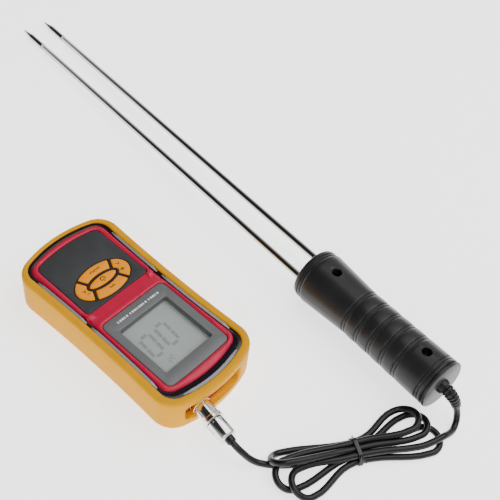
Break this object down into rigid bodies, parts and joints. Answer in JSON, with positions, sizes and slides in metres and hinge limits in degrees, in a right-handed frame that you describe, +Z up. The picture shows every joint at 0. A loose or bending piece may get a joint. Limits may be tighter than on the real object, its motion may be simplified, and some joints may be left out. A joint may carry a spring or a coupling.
{
  "type": "grain moisture meter",
  "caption": "Hand-held grain moisture meter with keypad and display in a rubber boot, joined by a tied lead to a two-needle probe with a ribbed handle.",
  "frame": {"origin": "middle of the meter's resting face, on the table", "axes": "+Z up, +Y along the meter from its keypad end to its connector end, +X across the meter, away from the probe"},
  "size_m": [0.2132, 0.5152, 0.0446],
  "materials": {
    "boot_rubber": "satin",
    "red_plastic": "gloss",
    "black_trim": "gloss",
    "silver_trim": "satin",
    "panel_plastic": "matt",
    "key_rubber": "satin",
    "mat_rubber": "matt",
    "grey_plastic": "satin",
    "window_plastic": "clear",
    "lcd": "satin",
    "white_plastic": "matt",
    "board": "satin",
    "component": "matt",
    "steel": "polished",
    "plated": "polished",
    "brass": "polished",
    "cell": "gloss",
    "wire": "gloss",
    "black_plastic": "satin",
    "cord_rubber": "satin",
    "insulator": "satin"
  },
  "bodies": {
    "meter": {"rubber_boot": "boot_rubber", "front_case": "red_plastic", "back_case": "red_plastic", "bezel_band": "black_trim", "trim_inlays": "silver_trim", "keypad_panel": "panel_plastic", "keypad_mat": "mat_rubber", "display_frame": "grey_plastic", "lcd_window": "window_plastic", "lcd_glass": "lcd", "backlight_plate": "white_plastic", "lcd_connector_strips": "mat_rubber", "main_board": "board", "control_chip": "component", "board_components": "component", "board_screws": "steel", "case_screws": "steel", "batteries": "cell", "battery_contacts": "plated", "battery_leads": "wire", "socket_shell": "plated", "socket_nut": "plated", "socket_insert": "black_plastic", "socket_pins": "brass", "socket_wires": "wire"},
    "power_button": {"power_key": "key_rubber"},
    "measure_button": {"measure_key": "key_rubber"},
    "set_button": {"set_key": "key_rubber"},
    "up_button": {"up_key": "key_rubber"},
    "down_button": {"down_key": "key_rubber"},
    "battery_door": {"battery_cover": "red_plastic"},
    "lead_and_probe": {"plug_body": "plated", "plug_insert": "black_plastic", "plug_contacts": "brass", "plug_collar": "cord_rubber", "cord_plug_end": "cord_rubber", "cord_hank": "cord_rubber", "cord_tie": "black_trim", "cord_handle_end": "cord_rubber", "strain_relief": "cord_rubber", "handle_upper": "black_plastic", "handle_lower": "black_plastic", "handle_screws": "steel", "rod_block": "insulator", "probe_rod_left": "steel", "probe_rod_right": "steel", "tip_insulators": "insulator", "electrode_tips": "steel", "probe_wires": "wire"},
    "plug_ring": {"lock_ring": "plated"}
  },
  "joints": [
    {"name": "power_press", "type": "slide", "parent": "meter", "child": "power_button", "axis": [0, 0, -1], "range_m": [0, 0.0008], "stiffness_N_per_m": 1200},
    {"name": "measure_press", "type": "slide", "parent": "meter", "child": "measure_button", "axis": [0, 0, -1], "range_m": [0, 0.0008], "stiffness_N_per_m": 1200},
    {"name": "set_press", "type": "slide", "parent": "meter", "child": "set_button", "axis": [0, 0, -1], "range_m": [0, 0.0008], "stiffness_N_per_m": 1200},
    {"name": "up_press", "type": "slide", "parent": "meter", "child": "up_button", "axis": [0, 0, -1], "range_m": [0, 0.0008], "stiffness_N_per_m": 1200},
    {"name": "down_press", "type": "slide", "parent": "meter", "child": "down_button", "axis": [0, 0, -1], "range_m": [0, 0.0008], "stiffness_N_per_m": 1200},
    {"name": "battery_door_hinge", "type": "hinge", "parent": "meter", "child": "battery_door", "pos_m": [0, -0.064, 0.0027], "axis": [-1, 0, 0], "range_deg": [0, 75]},
    {"name": "plug_pull", "type": "slide", "parent": "meter", "child": "lead_and_probe", "axis": [0.1564, 0.9877, 0], "range_m": [0, 0.015]},
    {"name": "lock_ring_turn", "type": "hinge", "parent": "lead_and_probe", "child": "plug_ring", "pos_m": [0.016, 0.08, 0.0155], "axis": [0.1564, 0.9877, 0], "continuous": true}
  ]
}
